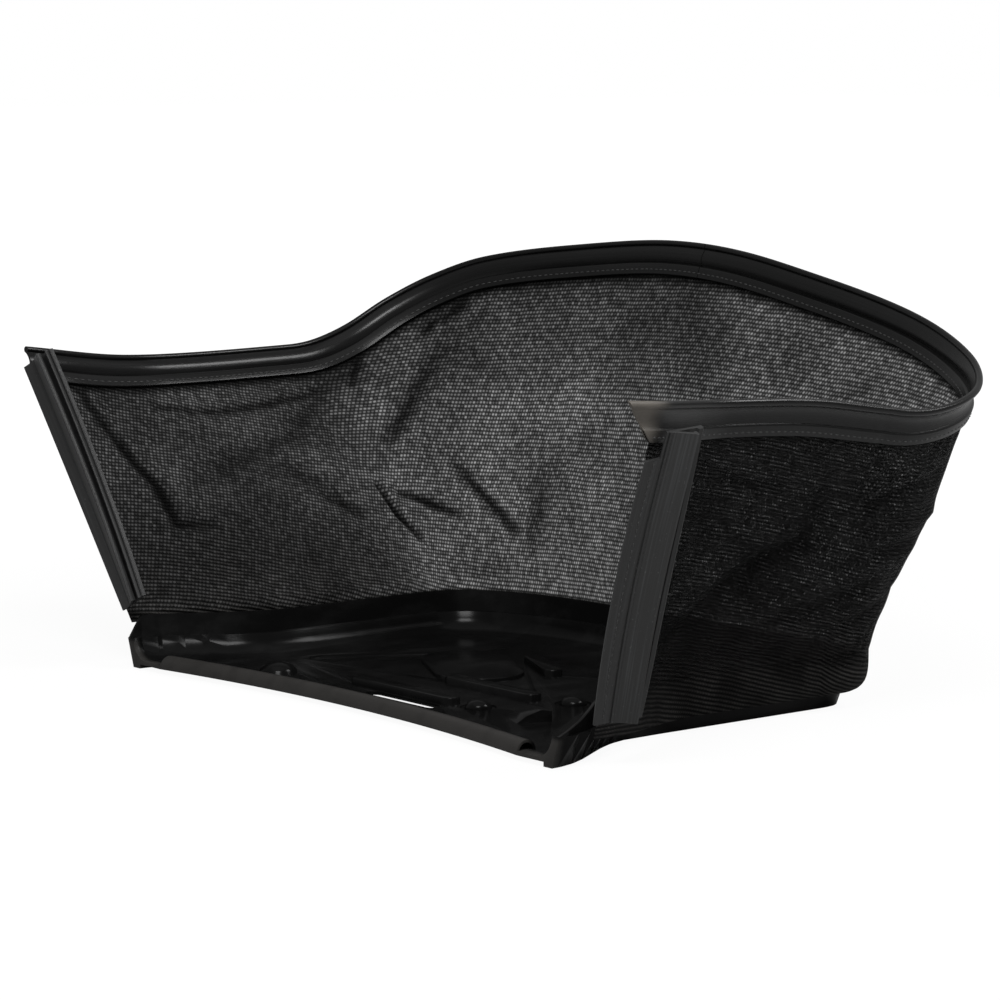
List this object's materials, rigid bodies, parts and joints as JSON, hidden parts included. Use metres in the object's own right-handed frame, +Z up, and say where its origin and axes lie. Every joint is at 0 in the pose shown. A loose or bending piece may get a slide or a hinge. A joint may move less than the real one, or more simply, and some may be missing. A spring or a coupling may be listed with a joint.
{
  "type": "lawn mower grass catcher bag",
  "caption": "Open-topped grass catcher bag: moulded base tray, knitted mesh wall, clip-on rim profile and hooked edge strips beside the open front.",
  "frame": {"origin": "middle of the bounding box's base, on the ground under the tray", "axes": "+Z up, -Y out of the open front, +X to the bag's right side"},
  "size_m": [0.6056, 0.3616, 0.2602],
  "materials": {
    "tray": "glossy black moulding",
    "mesh": "black knitted mesh",
    "profile": "satin black extrusion"
  },
  "bodies": {
    "root": {"base_tray": "tray", "mesh_wall": "mesh", "rim_left": "profile", "rim_right": "profile", "edge_strip_left": "profile", "edge_strip_right": "profile"}
  },
  "joints": []
}
